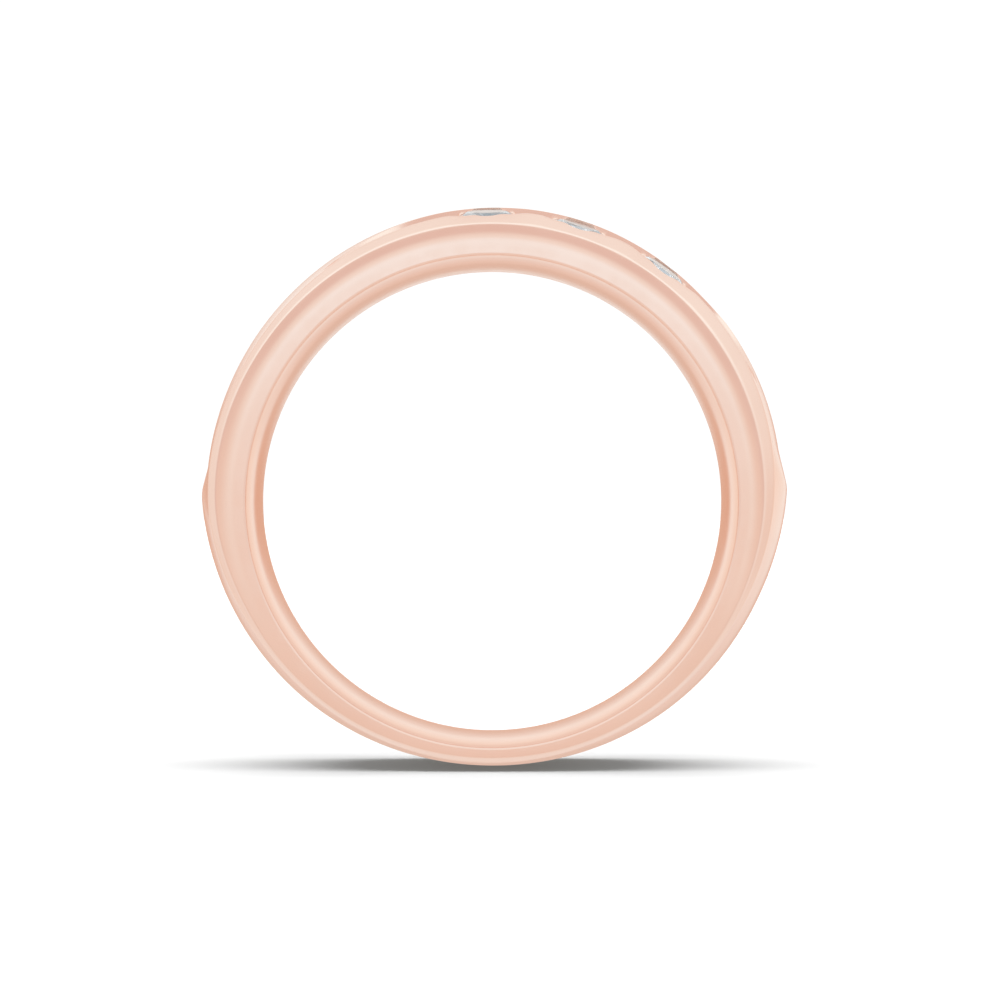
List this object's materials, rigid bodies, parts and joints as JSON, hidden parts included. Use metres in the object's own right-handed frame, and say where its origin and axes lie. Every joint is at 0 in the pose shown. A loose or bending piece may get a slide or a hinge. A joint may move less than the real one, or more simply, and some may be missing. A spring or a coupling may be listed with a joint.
{
  "type": "wedding band",
  "caption": "Polished rose-gold wedding band, comfort-fit bore, thicker domed crown with staggered rows of round brilliants in bright-cut grooves and small shoulder steps.",
  "frame": {"origin": "centre of the finger bore, at the middle of the band's width", "axes": "+Y along the finger axis from the front side face to the back one, +Z towards the crown that carries the stones, +X across the band to the shoulder that the front row of stones runs towards"},
  "size_m": [0.0253, 0.008, 0.0241],
  "materials": {
    "rose_gold": "mirror-polished rose gold",
    "diamond": "faceted, colourless, polished"
  },
  "bodies": {
    "root": {"band": "rose_gold", "diamond_front_1": "diamond", "diamond_front_2": "diamond", "diamond_front_3": "diamond", "diamond_back_1": "diamond", "diamond_back_2": "diamond", "diamond_back_3": "diamond"}
  },
  "joints": []
}
